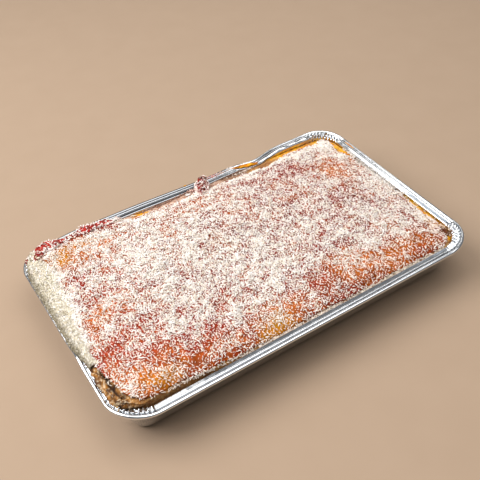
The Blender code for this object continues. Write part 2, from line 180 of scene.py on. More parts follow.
# How much of the jam the coconut hides: a share for the middle, and what patches add or take away
COVER = 0.735
COVER_PATCHES = (
    (-134, -62, 26, 36, -0.24), (-88, -78, 36, 20, -0.31), (-26, -88, 22, 10, -0.26),
    (-6, -76, 26, 14, -0.07), (66, -80, 66, 18, -0.30), (122, -80, 32, 11, -0.20),
    (143, -80, 8, 7, -0.30), (-134, 62, 18, 14, -0.20), (-108, 62, 24, 12, -0.08),
    (66, 68, 50, 12, -0.06), (-12, 63, 34, 15, -0.09), (-130, 34, 16, 40, -0.12),
    (-128, -8, 20, 20, -0.05), (-75, 0, 26, 30, 0.07), (-92, 50, 20, 10, 0.05),
    (-118, 86, 46, 6, -0.40), (30, -66, 18, 9, -0.10), (60, 20, 60, 50, -0.09),
    (100, -5, 16, 12, -0.08), (118, 33, 23, 22, -0.20), (78, 58, 28, 14, -0.14),
    (120, -40, 20, 16, -0.06), (-15, -25, 34, 18, 0.10), (15, -8, 12, 12, 0.06),
    (-60, 20, 32, 24, 0.10), (-12, 9, 20, 17, -0.10), (-66, -61, 13, 6, -0.12),
    (-90, 70, 20, 8, 0.06), (85, -28, 20, 10, 0.06),
)

# Where syrup soaked into the sponge's bare rim
SYRUP_PATCHES = (
    (104, 86, 26, 9), (140, 80, 14, 12), (150, 62, 9, 24),
    (149, -46, 8, 34), (-50, 86, 9, 4), (146, -80, 8, 8),
)

# Bits that fell on the rim: (X, Y, half spread along X and Y in mm, how many, colour). Coconut, then crumbs.
FALLEN_COCONUT = (
    (-152.6, -46.0, 2.0, 4.0, 46, "#cdc4b2"), (-151, -60.0, 2.4, 12.0, 60, "#e6dccb"),
    (-70, 91.6, 2.2, 2.6, 46, "#f0dcd2"), (-81, 95.0, 2.5, 1.2, 26, "#f2ece2"),
    (-76, 86.5, 9.0, 1.3, 60, "#ead9c6"), (-57, 86.8, 1.6, 0.8, 8, "#f0e2c4"),
    (-6, 83.0, 1.8, 1.2, 24, "#f2ece6"), (27, 94.2, 6.5, 1.4, 60, "#d59c90"),
    (37, 94.4, 4.0, 1.3, 34, "#dfbcaa"), (46, 95.2, 3.5, 1.2, 30, "#efe2d8"),
    (58, 94.5, 6.0, 1.2, 26, "#e6d4c4"), (50, 83.4, 12.0, 1.5, 56, "#e6d2c0"),
    (81, 90.0, 3.5, 1.6, 34, "#efe4d6"), (149.6, 34.0, 1.0, 22.0, 190, "#ece2d6"),
    (149.6, 0.0, 1.0, 18.0, 150, "#ece2d6"), (149.4, -30.0, 0.8, 26.0, 22, "#e8d0a4"),
    (147.4, -76.0, 2.5, 8.0, 36, "#e8ccb0"), (1, 86.5, 3.0, 3.0, 40, "#e8c0b0"),
    (-100, -89.4, 26.0, 0.8, 120, "#ecdccc"), (-20, -89.4, 60.0, 0.8, 360, "#ecdccc"),
    (80, -89.4, 60.0, 0.8, 360, "#e8d8c4"),
)
FALLEN_CRUMBS = (
    (-16, 87.5, 26.0, 0.7, 150, "#a27a66"), (8, 84.5, 7.0, 1.2, 60, "#8a4a3c"),
    (48, 85.6, 14.0, 1.4, 130, "#76523a"), (144.5, -76.5, 2.2, 4.0, 60, "#6e3014"),
    (140, 91.0, 7.0, 1.6, 70, "#9c7e62"), (149, 86.0, 3.0, 2.0, 20, "#a48668"),
    (146.5, -80.0, 2.0, 5.0, 40, "#7a4c22"), (-155.5, -30.0, 1.2, 8.0, 14, "#6e4420"),
    (-154, -45.5, 1.0, 2.2, 90, "#5e3818"), (-153.6, -62.0, 0.7, 14.0, 70, "#9a6c30"),
    (-153.4, -68.0, 0.8, 13.0, 90, "#caa878"), (-148.5, -81.0, 1.4, 3.0, 50, "#8a5c26"),
)
# Syrup that ran on the rim: (X, Y, half sizes along X and Y in mm, lean in degrees, height in mm)
SMEARS = ((64, 89.2, 12.5, 2.2, 14, 0.6), (156.2, 60, 0.9, 5, 0, 0.5), (0.1, 97.0, 1.5, 0.9, 0, 0.7))

# The range that most of a noise's values fall in
NOISE_RANGE = {"From Min": 0.3, "From Max": 0.7}


def ease(value):
    """3t² - 2t³ of the value kept from 0 to 1."""
    t = np.clip(value, 0.0, 1.0)
    return t * t * (3 - 2 * t)


def between(value, low, low_reach, high, high_reach):
    """Eases in over a reach from the low limit on, and out over a reach up to the high one."""
    return ease((value - low) / low_reach) * ease((high - value) / high_reach)


def bell(distance, half_width):
    """e to the power of minus the square of distance over half width."""
    return np.exp(-((distance / half_width) ** 2))


def xyz(x, y, z):
    """Joins three arrays of coordinates, spread to one shape, into an array of points."""
    return np.stack(np.broadcast_arrays(x, y, z), axis=-1)


def unit(vectors):
    """Each vector over its own length."""
    return vectors / np.linalg.norm(vectors, axis=-1, keepdims=True)


def lattice_value(cell, seed):
    """A fixed number from 0 to 1 for each whole-number point, by multiplying and folding its bits."""
    mixed = cell[..., 0] * 374761393 + cell[..., 1] * 668265263 + cell[..., 2] * 1442695041 + seed * 99991
    mixed = mixed & 0xFFFFFFFF
    mixed = ((mixed ^ (mixed >> 13)) * 1274126177) & 0xFFFFFFFF
    return (mixed ^ (mixed >> 16)) / 0xFFFFFFFF


def soft_noise(points, pitch, seed=0):
    """Numbers on a lattice of the given pitch, blended between by 3t² - 2t³ on each axis, from -1 to 1."""
    scaled = points / pitch
    cell = np.floor(scaled).astype(np.int64)
    t = scaled - cell
    t = t * t * (3 - 2 * t)
    total = 0.0
    for corner in np.ndindex(2, 2, 2):
        share = np.prod(np.where(corner, t, 1 - t), axis=-1)
        total = total + share * lattice_value(cell + np.array(corner), seed)
    return total * 2 - 1


def mottle(points, pitch, seed=0, layers=3):
    """Sum of soft noises, each at half the pitch and 0.6 of the strength of the one before it."""
    return sum(soft_noise(points, pitch / 2**k, seed + k) * 0.6**k for k in range(layers))


def linear(hex_colour):
    """sRGB hex to linear: a channel c is c/12.92 up to 0.04045, and ((c + 0.055)/1.055)^2.4 above."""
    channels = np.array([int(hex_colour[i : i + 2], 16) for i in (1, 3, 5)]) / 255
    return np.where(channels <= 0.04045, channels / 12.92, ((channels + 0.055) / 1.055) ** 2.4)


def mix(first, second, share):
    """first·(1 - share) + second·share for each channel, for colours or their hex."""
    first, second = (linear(colour) if isinstance(colour, str) else colour for colour in (first, second))
    return first + (second - first) * np.asarray(share)[..., None]


def with_fourth(colour, fourth):
    """The colours with a fourth channel, one number for all or one for each."""
    return np.concatenate((colour, np.broadcast_to(fourth, colour.shape[:-1])[..., None]), axis=-1)


def patch_share(x, y, middle_x, middle_y, half_x, half_y):
    """A bell over an ellipse, 1 at its middle, for a patch given in mm."""
    return bell(np.hypot((x / MM - middle_x) / half_x, (y / MM - middle_y) / half_y), 1)


def grid_faces(rows, columns, around=False):
    """Four-sided faces of a grid numbered row by row. around joins the last column to the first."""
    low = np.arange(rows - 1)[:, None] * columns
    here = np.arange(columns if around else columns - 1)[None, :]
    there = (here + 1) % columns
    corners = (low + here, low + there, low + columns + there, low + columns + here)
    return np.stack(corners, axis=-1).reshape(-1, 4)


def band_faces(upper, lower):
    """Four-sided faces between closed rings of points, given by their numbers."""
    return np.stack((np.roll(upper, -1, -1), upper, lower, np.roll(lower, -1, -1)), -1).reshape(-1, 4)


def ball_faces(rows, columns):
    """Faces of rings of points, and triangles from the first and the last ring to the poles after them."""
    here = np.arange(columns)
    there = (here + 1) % columns
    last = (rows - 1) * columns
    pole = np.full(columns, rows * columns)
    fans = np.stack((there, here, pole), -1), np.stack((here + last, there + last, pole + 1), -1)
    return [grid_faces(rows, columns, around=True), np.concatenate(fans)]


def grid_border(rows, columns):
    """Numbers of a grid's border points, anticlockwise from its first corner."""
    bottom = np.arange(columns - 1)
    right = np.arange(rows - 1) * columns + columns - 1
    top = rows * columns - 1 - np.arange(columns - 1)
    left = (rows - 1) * columns - np.arange(rows - 1) * columns
    return np.concatenate((bottom, right, top, left))


def signed_volume(points, faces):
    """Sum over the faces' triangles of a·(b×c)/6, positive where they face away from the middle."""
    centred = points - points.mean(axis=0)
    total = 0.0
    for group in faces:
        corners = centred[group]
        for k in range(1, group.shape[1] - 1):
            turned = np.cross(corners[:, k], corners[:, k + 1])
            total += np.einsum("ij,ij->", corners[:, 0], turned) / 6
    return total


def add_piece(name, points, faces, material, slot, tint, stands_for=None, smooth=True):
    """Puts whole arrays into a mesh, faces outwards, and ties the piece to the frame. faces is a list of
    arrays, each with as many columns as its faces have corners. stands_for names the nodes that the piece
    replaces, by default the one with the same name as its slot."""
    points = points.reshape(-1, 3)
    if signed_volume(points, faces) < 0:
        faces = [group[:, ::-1] for group in faces]
    sides = np.concatenate([np.full(len(group), group.shape[1]) for group in faces])
    corners = np.concatenate([group.ravel() for group in faces])
    mesh = bpy.data.meshes.new(name)
    mesh.vertices.add(len(points))
    mesh.vertices.foreach_set("co", points.astype(np.float32).ravel())
    mesh.loops.add(len(corners))
    mesh.loops.foreach_set("vertex_index", corners.astype(np.int32))
    mesh.polygons.add(len(sides))
    mesh.polygons.foreach_set("loop_start", (np.cumsum(sides) - sides).astype(np.int32))
    mesh.update(calc_edges=True)
    if smooth:
        mesh.shade_smooth()
    layer = mesh.attributes.new("tint", "FLOAT_COLOR", "POINT")
    layer.data.foreach_set("color", tint.reshape(-1, 4).astype(np.float32).ravel())
    mesh.materials.append(material)
    piece = bpy.data.objects.new(name, mesh)
    bpy.context.scene.collection.objects.link(piece)
    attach(piece, "root")
    if stands_for is None:
        stands_for = (slot,)
    if stands_for:
        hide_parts(*stands_for)
    return piece


def add_sheet(name, face, under, tint, material, slot):
    """A closed skin from two grids of points: the face, the underside turned over, and a strip between."""
    rows, columns = face.shape[:2]
    border = grid_border(rows, columns)
    top = grid_faces(rows, columns)
    count = rows * columns
    faces = [top, top[:, ::-1] + count, band_faces(border, border + count)]
    add_piece(name, np.stack((face, under)), faces, material, slot, np.stack((tint, tint)))


def wall_push(x, ny):
    """How far the tray's wall stands out of its plain outline: on the back, minus the sum of dents' bells."""
    held = np.clip(x, -CORNER_X, CORNER_X)
    dents = sum(depth * bell(held - place, width) for place, width, depth in BACK_DENTS)
    return -np.maximum(0.0, ny) ** 2 * dents


def foil_controls():
    """The foil's section, base to curled bead: (inset from the outline, height, share of the pleats)."""
    base = FLANGE + WALL_LEAN
    outer = WALL_TOP + LEDGE_STEP
    bead = [
        (BEAD / 2 + BEAD / 2 * math.cos(turn), TRAY_DEPTH - BEAD / 2 + BEAD / 2 * math.sin(turn), 0.0)
        for turn in np.radians((-25, 20, 60, 100, 140, 185, 230))
    ]
    wall = [
        (base + BASE_FOLD, 0.0001, 0.0),
        (base + BASE_FOLD * 0.25, 0.0001 + BASE_FOLD * 0.3, 0.2),
        (base - WALL_LEAN * 0.12, BASE_FOLD * 1.5, 0.6),
        (FLANGE + WALL_LEAN * 0.70, WALL_TOP * 0.35, 0.8),
        (FLANGE + WALL_LEAN * 0.45, WALL_TOP * 0.55, 0.9),
        (FLANGE + WALL_LEAN * 0.22, WALL_TOP * 0.80, 1.0),
        (FLANGE + 0.0008, WALL_TOP - 0.0012, 1.0),
        (FLANGE + 0.0001, WALL_TOP - 0.0001, 1.0),
    ]
    ledge = [
        (FLANGE - 0.0006, WALL_TOP, 0.9),
        (BEAD + 0.0026, WALL_TOP, 0.9),
        (BEAD + 0.0022, WALL_TOP, 0.8),
        (BEAD + 0.0018, outer, 0.6),
        (BEAD + 0.0008, outer, 0.5),
    ]
    return np.array(wall + ledge + bead)


def smooth_through(controls, steps):
    """A curve through the controls: each span is a cubic, its end slopes half its neighbours' distance."""
    padded = np.concatenate((controls[:1], controls, controls[-1:]))
    before, start, end, after = (padded[k : len(controls) - 1 + k] for k in range(4))
    t = (np.arange(steps) / steps)[None, :, None]
    slope_start = ((end - before) / 2)[:, None]
    slope_end = ((after - start) / 2)[:, None]
    start = start[:, None]
    rise = end[:, None] - start
    curve = start + t * slope_start + t**2 * (3 * rise - 2 * slope_start - slope_end)
    curve = curve + t**3 * (slope_start + slope_end - 2 * rise)
    return np.concatenate((curve.reshape(-1, controls.shape[1]), controls[-1:]))


def tray_outline(pitch, corner_points):
    """Stations round the tray: the point on the corner centres' rectangle, the outward normal, how far round
    its corner the station is from 0 to 1 (or -1 on a straight side)."""
    core = np.array([CORNER_X, CORNER_Y])
    signs = np.array([(1, 1), (-1, 1), (-1, -1), (1, -1)])
    cores, normals, turns = [], [], []
    for quarter in range(4):
        t = np.arange(corner_points + 1) / corner_points
        angle = np.pi / 2 * (quarter + t)
        here = core * signs[quarter]
        there = core * signs[(quarter + 1) % 4]
        steps = int(np.abs(there - here).max() / pitch)
        along = (np.arange(1, steps) / steps)[:, None]
        cores += [np.repeat(here[None], len(t), 0), here + (there - here) * along]
        normals += [np.stack((np.cos(angle), np.sin(angle)), -1)]
        normals += [np.repeat(normals[-1][-1:], steps - 1, 0)]
        turns += [t, np.full(steps - 1, -1.0)]
    return np.concatenate(cores), np.concatenate(normals), np.concatenate(turns)


def make_foil_tray(material):
    """The section carried round the outline: out = radius - inset + dents + pleats, where the pleats are
    sines to the power 0.7 round each corner, then crinkles as noise along the normal and Z. A disc closes
    the base. The tint is painted shade: darker by bells across the folds and the wall's top, darker on the
    back's bead and ledge, and darker on the lowest tenth of the wall. Its fourth channel says how crumpled a
    place is."""
    (core_x, core_y), (nx, ny), turn = (a.T for a in tray_outline(STATION_PITCH, CORNER_STATIONS))
    inset, height, share = (column[:, None] for column in smooth_through(foil_controls(), 3).T)
    rise = height / TRAY_DEPTH
    corner_share = np.where(turn >= 0, np.sin(np.pi * np.clip(turn, 0, 1)) ** 0.5, 0.0)
    wave = np.sin(2 * np.pi * CORNER_PLEATS * turn + 0.9 * np.sin(9 * turn))
    pleat = np.sign(wave) * np.abs(wave) ** 0.7 * corner_share
    out = CORNER_RADIUS - inset + wall_push(core_x, ny) * rise
    out = out + PLEAT_DEPTH * pleat * share * (0.3 + 0.7 * rise)
    lift = CORNER_LIFT * rise**3 * 2 * np.abs(nx * ny)
    ledge = ease((height - WALL_TOP * 0.93) / 0.002) * share
    flap = (core_x < 0) * (nx < -0.99) * bell(core_y - FLAP_PLACE, FLAP_HALF) ** 0.8
    flap = flap * ease((FLANGE + 0.001 - inset) / FLANGE)
    x = core_x + nx * out
    y = core_y + ny * out
    plain = xyz(x, y, height + lift + PLEAT_HEAVE * pleat * ledge + FLAP_RISE * flap)
    crumpled = np.maximum(corner_share, 0.25 * (nx < -0.9))
    crumpled = np.maximum(crumpled, 0.6 * (ny > 0.9) * ease((core_x - 0.040) / 0.020))
    free = ease(rise / 0.2) * (0.45 + 0.55 * share) * (0.2 + 1.7 * crumpled)
    push = CRINKLE * free * (mottle(plain, 0.011, 11, 2) + 0.25)
    rough = mottle(plain, 0.009, 21, 2) + 0.8 * corner_share * soft_noise(plain, 0.003, 25)
    heave = CRINKLE * 0.9 * free * ledge * rough
    points = plain + xyz(push * nx, push * ny, heave)
    # Painted shade and painted reflection: dark bells across the folds and along the wall's top, faint on the
    # left end, and the back's bead and ledge darkened from the left end to a little right of the middle, for
    # the dark surroundings that the back rim mirrors
    painted_shade_and_dullness = sum(depth * bell(inset - place, width) for place, width, depth in FOLD_SHADE_LINES)
    painted_shade_and_dullness = painted_shade_and_dullness * np.where(nx < -0.7, 0.2, 1.0)
    at_back = ny > 0.9
    painted_shade_and_dullness = np.maximum(painted_shade_and_dullness, 0.60 * (inset < BEAD) * at_back * ease((0.055 - core_x) / 0.02))
    on_ledge = (inset > BEAD) & (inset < FLANGE - 0.0004) & at_back
    painted_shade_and_dullness = np.maximum(painted_shade_and_dullness, 0.42 * on_ledge * ease((0.030 - core_x) / 0.02))
    painted_shade_and_dullness = painted_shade_and_dullness + LIP_SHADE_LINE[2] * bell(inset - LIP_SHADE_LINE[0], LIP_SHADE_LINE[1]) * (0.25 + 0.75 * (ny > 0.7))
    # Painted shade near the base: the lowest tenth of the wall is a quarter darker
    shade = (1 - painted_shade_and_dullness * ease((height - WALL_TOP * 0.9) / 0.001)) * (1 - 0.25 * (rise < 0.1))
    tint = with_fourth(shade[..., None] * linear("#e6e8ea"), 0.03 + 0.97 * crumpled)
    faces = [grid_faces(*x.shape, around=True), np.arange(x.shape[1])[None, :]]
    tray = add_piece("foil_tray_rolled", points, faces, material, "foil_tray", tint)
    sheet = tray.modifiers.new("Sheet", "SOLIDIFY")
    sheet.thickness = FOIL_SHEET
    sheet.offset = 0


def wall_inset(height):
    """How far inside the outline the foil's inner face lies at a height."""
    wall = foil_controls()[:8]
    return np.interp(height, wall[:, 1], wall[:, 0]) + FOIL_SHEET + PLEAT_DEPTH


def rounded(u, v, half_x, half_y, radius):
    """Carries the square -1 to 1 to a rounded rectangle: in a corner, the larger overshoot past the corner's
    centre becomes the distance from it. Also gives the outward normal, nx and ny."""
    x = np.abs(u) * half_x
    y = np.abs(v) * half_y
    over_x = x - (half_x - radius)
    over_y = y - (half_y - radius)
    corner = (over_x > 0) & (over_y > 0)
    length = np.maximum(np.hypot(over_x, over_y), 1e-9)
    nx = np.where(corner, over_x / length, np.abs(u) >= np.abs(v))
    ny = np.where(corner, over_y / length, np.abs(u) < np.abs(v))
    reach = np.maximum(over_x, over_y)
    x = np.where(corner, half_x - radius + nx * reach, x)
    y = np.where(corner, half_y - radius + ny * reach, y)
    return x * np.sign(u), y * np.sign(v), nx * np.sign(u), ny * np.sign(v)


def depth_in(x, y, half_x, half_y, radius):
    """Distance in from a rounded outline: the radius, less the distance outside the corner centres'
    rectangle, plus the distance inside it."""
    over_x = np.abs(x) - half_x + radius
    over_y = np.abs(y) - half_y + radius
    outside = np.hypot(np.maximum(0, over_x), np.maximum(0, over_y))
    return radius - outside - np.minimum(0, np.maximum(over_x, over_y))


def tray_inset(x, y):
    """Distance in from the tray's outline."""
    return depth_in(x, y, HALF_LENGTH, HALF_WIDTH, CORNER_RADIUS)


def sponge_depth(x, y):
    """Distance in from the sponge's outline, and 0 outside it."""
    return np.maximum(0.0, depth_in(x, y, SPONGE_HALF_X, SPONGE_HALF_Y, SPONGE_RADIUS))


def rest_height(x, y):
    """Height of what a fallen bit lies on: the ledge's outer or inner step, and from the wall's top inwards a
    slope of 3t² - 2t³ to the cake's edge."""
    inset = tray_inset(x, y)
    ledge = WALL_TOP + LEDGE_STEP * ease((BEAD + 0.0024 - inset) / 0.0006)
    inner = ease((inset - FLANGE) / (SPONGE_INSET - FLANGE))
    return ledge + inner * (sponge_top(x, y) + GAP - ledge)


def left_share(x):
    """1 at the left end, where the cake rises over the rim, and 0 from the middle on."""
    return ease((-x - 0.035) / 0.110)


def torn_share(x):
    """1 on the left end, where the cake broke as it was pushed in, and 0 elsewhere."""
    return ease((-0.139 - x) / 0.008)


def square_share(x, y):
    """1 where the cake's edge isn't rounded and its bare rim shows: along the back up to the dent, and at the
    right end near the back and near the front."""
    back = ease((y - 0.070) / 0.006) * between(x, -0.080, 0.010, 0.070, 0.010)
    near_back = between(y, 0.040, 0.006, 0.084, 0.004)
    near_front = between(y, -0.080, 0.008, -0.016, 0.006)
    return np.maximum(back, ease((x - 0.135) / 0.004) * np.maximum(near_back, near_front))


def sponge_top(x, y):
    """Edge height + left rise + dome·(1 - |x/hx|^2.6)(1 - |y/hy|^2.6) + swell noise - shoulder squared."""
    across = np.minimum(1.0, np.abs(x) / SPONGE_HALF_X) ** 2.6
    along = np.minimum(1.0, np.abs(y) / SPONGE_HALF_Y) ** 2.6
    swell = SWELL * mottle(xyz(x, y, 0.4), 0.045, 31, 2)
    shoulder = SHOULDER_DROP * np.maximum(0.0, 1 - sponge_depth(x, y) / SHOULDER) ** 2
    shoulder = shoulder * (1 - np.maximum(0.65 * torn_share(x), 0.75 * square_share(x, y)))
    return SPONGE_EDGE + LEFT_RISE * left_share(x) + DOME * (1 - across) * (1 - along) + swell - shoulder


def jam_top(x, y):
    """Sponge height + gap + jam thickness, thinner at its edge, + bumps as two noises."""
    place = xyz(x, y, 2.7)
    bump = soft_noise(place, BUMP_PITCH, 41) + 0.7 * soft_noise(place, BUMP_PITCH * 0.5, 42)
    thin_edge = ease(sponge_depth(x, y) / 0.006)
    return sponge_top(x, y) + GAP + JAM * (0.55 + 0.45 * thin_edge) + COCONUT_BUMP * 0.8 * bump * thin_edge


def broken_share(y):
    """1 along the front part of the left end, where the broken side shows, and 0 elsewhere."""
    return between(y, -0.100, 0.006, -0.036, 0.012)


def overhang(x, y, nx, height):
    """How far the left end stands out over the ledge: reach·(-nx)² + crags, only above the rim. Where it is
    broken, crumbs slope down from it and reach further at the rim."""
    above_rim = ease((height - WALL_TOP) / 0.0020)
    crag = CRAG * mottle(xyz(x, y, height), 0.006, 51)
    slope = CRUMB_SLOPE * broken_share(y) * (1 - ease((height - 0.0372) / 0.0046))
    return ((OVERHANG + slope) * np.maximum(0, -nx) ** 2 + crag) * left_share(x) ** 3 * above_rim


def drift_share(y):
    """1 along the bank of coconut and 0 past its two ends."""
    return between(y, DRIFT_FRONT, DRIFT_TAPER, DRIFT_BACK, DRIFT_TAPER)


def drift_reach(y):
    """How far in from the cake's left edge the bank lies on the cake: less and less toward the front."""
    wide = between(y, -0.030, 0.090, DRIFT_BACK + 0.012, DRIFT_TAPER)
    return DRIFT_OVER_CAKE * wide + 0.0012 * soft_noise(xyz(0.0, y, 4.4), 0.008, 145)


def jam_edge(x, y, nx, ny):
    """How far the jam's edge lies inside its plain outline: most at the back right, at the broken left front
    and under the bank, and in bells along the right."""
    narrow, wide = JAM_BACK_INSET
    back = narrow * ease((x + 0.085) / 0.025) + (wide - narrow) * ease(x / 0.040)
    left = np.maximum(0, drift_reach(y) + GAP * 3 - JAM_INSET)
    left = left + JAM_LEFT_INSET * ease((-0.036 - y) / 0.042)
    right = sum(depth * bell(y - place, width) for place, width, depth in JAM_RIGHT_INSETS)
    ragged = JAM_RAGGED * (0.5 + 0.7 * mottle(xyz(x, y, 3.3), 0.009, 61))
    plain = back * np.maximum(0, ny) ** 2 + left * np.maximum(0, -nx) ** 2
    return -plain - right * np.maximum(0, nx) ** 2 - ragged


def sponge_draw(x, y, nx, ny):
    """How far the sponge's top edge moves out: the left end's reach over the ledge."""
    return overhang(x, y, nx, TRAY_DEPTH + 0.004)


def jam_draw(x, y, nx, ny):
    """How far the jam's edge moves out: its own inset and the sponge's reach."""
    return jam_edge(x, y, nx, ny) + sponge_draw(x, y, nx, ny)


def food_sheet(cells, inset, draw, top):
    """A height field over the sponge's outline, with its lines closer together toward the edges."""
    u, v = (np.linspace(-1, 1, count + 1) for count in cells)
    u, v = np.meshgrid(u * (1.3 - 0.3 * u * u), v * (1.3 - 0.3 * v * v))
    return food_points(u, v, inset, draw, top)


def food_points(u, v, inset, draw, top):
    """The sheet for u and v from -1 to 1: on the rounded outline's square map, then moved out by draw.
    Gives x, y and the outward normal before the move, and the points after it."""
    half_x = SPONGE_HALF_X - inset
    half_y = SPONGE_HALF_Y - inset
    x, y, nx, ny = rounded(u, v, half_x, half_y, SPONGE_RADIUS - inset)
    fade = ease(1 - sponge_depth(x, y) / PUSH_REACH)
    out = (draw(x, y, nx, ny) + wall_push(x, ny)) * fade
    moved_x = x + nx * out
    moved_y = y + ny * out
    return x, y, nx, ny, xyz(moved_x, moved_y, top(moved_x, moved_y))


def crumb(points, seed):
    """Open crumb: rounded bumps from noise at 3.2 mm and pits where a finer noise runs low."""
    lumps = mottle(points, 0.0032, seed)
    pits = np.minimum(0.0, soft_noise(points, 0.0018, seed + 9) + 0.35)
    return lumps * 0.6 + pits * 1.6


def make_sponge(material):
    """The height field, its border carried down the foil's wall in rings, and a flat face under it.
    A crumb of pits and lumps is pressed in along the outward normal."""
    x, y, nx, ny, top = food_sheet(SPONGE_CELLS, 0.0, sponge_draw, sponge_top)
    rows, columns = x.shape
    bare = ease(1 - sponge_depth(x, y) / 0.014)
    crack = crack_share(x, y)
    top[..., 2] += (CRUMB_PIT + TORN_CRUMB * 0.5 * broken_share(y) * (x < -0.12)) * crumb(top, 71) * bare
    top[..., 2] -= CRACK_DEPTH * crack
    border = grid_border(rows, columns)
    x, y, nx, ny, height = (a.ravel()[border] for a in (x, y, nx, ny, top[..., 2]))
    down = (np.arange(1, SPONGE_RINGS + 1) / SPONGE_RINGS)[:, None] ** 1.25
    level = height + (FRESH_FLOOR - height) * down
    lean = np.maximum(0.0, wall_inset(level) - wall_inset(SPONGE_BROW))
    out = wall_push(x, ny) * level / TRAY_DEPTH - lean + overhang(x, y, nx, level)
    side = xyz(x + nx * out, y + ny * out, level)
    above = ease((level - WALL_TOP + 0.002) / 0.003)
    press = (CRUMB_PIT + TORN_CRUMB * torn_share(x)) * crumb(side, 81) * above
    side = side + xyz(nx * press, ny * press, 0.0)
    points = np.concatenate((top.reshape(-1, 3), side.reshape(-1, 3)))
    lower = rows * columns + np.arange(level.size).reshape(level.shape)
    upper = np.concatenate((border[None], lower[:-1]))
    faces = [grid_faces(rows, columns), band_faces(upper, lower), lower[-1:][:, ::-1]]
    crack = np.concatenate((crack.ravel(), np.zeros(len(points) - crack.size)))
    add_piece("sponge_cake", points, faces, material, "sponge", sponge_tint(points, crack))


def crack_share(x, y):
    """Where the top is split at the left end: thin bells round wandering distances in from the edge."""
    total = 0.0
    for inset, half_width, front, back in CRACKS:
        wander = 0.0010 * mottle(xyz(x, y, 0.7), 0.007, 91)
        along = between(y, front, 0.003, back, 0.003)
        total = total + bell(sponge_depth(x, y) - inset - wander, half_width) * along * (x < -0.12)
    return np.minimum(total, 1)


def sponge_tint(points, crack):
    """Colour of the sponge by place: pale crumb, golden where it is broken, browned at its edges, nearly
    black painted shade in the cracks, and glossy amber where syrup soaked in. The fourth channel is the
    gloss."""
    x, y = points.T[:2]
    speckle = mottle(points, 0.004, 101)
    fine = mottle(points, 0.0011, 105)
    colour = mix("#a8763a", "#7c4718", ease(0.5 + 0.6 * speckle))
    colour = mix(colour, "#c4a270", ease(0.15 + 0.9 * fine) * 0.5)
    back = ease((y - 0.074) / 0.004) * ease((0.060 - x) / 0.012)
    pinkish = mix("#94644c", "#d8b8a2", ease(0.5 + fine))
    colour = mix(colour, mix(pinkish, "#6d4a30", ease((x - 0.022) / 0.010) * 0.7), back * 0.9)
    side = mix("#a86e24", "#54300f", ease(0.45 + 1.1 * speckle))
    side = mix(side, "#dcc8a6", ease((fine - 0.10) * 1.8) * 0.75)
    colour = mix(colour, side, torn_share(x))
    # Painted shade: the cracks are coloured nearly black, for the shade down in them
    colour = mix(colour, "#241008", 0.95 * crack)
    syrup = np.maximum.reduce([patch_share(x, y, *patch) for patch in SYRUP_PATCHES])
    syrup = ease((syrup + 0.25 * speckle - 0.35) / 0.3)
    glaze = mix("#f0ac1c", "#c4740c", ease(0.35 + speckle))
    return with_fourth(mix(colour, glaze, syrup), syrup)


def jam_colour(x, y):
    """Raspberry jam, with each patch mixed in by its bell. Noise moves the places by a few mm first, and a
    finer one lets the apricot through everywhere."""
    moved_x = x + 0.006 * mottle(xyz(x, y, 0.1), 0.020, 111)
    moved_y = y + 0.006 * mottle(xyz(x, y, 0.9), 0.020, 115)
    colour = np.broadcast_to(linear(JAM_HEX["raspberry"]), (*x.shape, 3))
    for *patch, name, strength in JAM_PATCHES:
        colour = mix(colour, JAM_HEX[name], strength * patch_share(moved_x, moved_y, *patch))
    warm = ease(0.1 + 0.9 * mottle(xyz(x, y, 1.3), 0.011, 113))
    return mix(colour, JAM_HEX["orange"], 0.45 * warm)


def make_jam(material):
    """A closed skin: the jam's height field and the sponge's surface a hair below it. The tint's fourth
    channel is how much coconut dust lies on it."""
    face = food_sheet(JAM_CELLS, JAM_INSET, jam_draw, jam_top)[4]
    x, y, height = np.moveaxis(face, -1, 0)
    under = xyz(x, y, np.minimum(sponge_top(x, y) + GAP * 0.5, height - 0.0004))
    dust = np.clip((cover_share(x, y) - 0.55) * 1.2, 0.02, 0.35)
    add_sheet("jam_skin", face, under, with_fourth(jam_colour(x, y), dust), material, "jam_layer")


def cover_share(x, y):
    """How much of the jam the coconut hides at a place, with clumps and bare spots as noise."""
    place = xyz(x, y, 5.5)
    share = COVER + 0.13 * soft_noise(place, 0.010, 121) + 0.20 * soft_noise(place, 0.0040, 122)
    for *patch, extra in COVER_PATCHES:
        share = share + extra * patch_share(x, y, *patch)
    beyond_bank = x - (drift_side(y) + OVERHANG + drift_reach(y))
    share = share + 0.30 * drift_share(y) * (1 - ease(beyond_bank / 0.006))
    return np.clip(share * (1 - spill_share(x, y)), 0.005, 0.97)


def spill_share(x, y):
    """1 under the boiled-over jam and 0 away from it."""
    along = ease((SPILL_START - x) / 0.006) * ease((y - 0.078) / 0.003)
    return along * ease((SPILL_WIDTH / 2 + 0.0004 - np.abs(tray_inset(x, y) - SPILL_INSET)) / 0.001)


def surface_normal(height, x, y):
    """(-dz/dx, -dz/dy, 1) over its length, with the slopes taken across 1 mm."""
    reach = 0.0005
    slope_x = (height(x + reach, y) - height(x - reach, y)) / (2 * reach)
    slope_y = (height(x, y + reach) - height(x, y - reach)) / (2 * reach)
    return unit(xyz(-slope_x, -slope_y, 1.0))


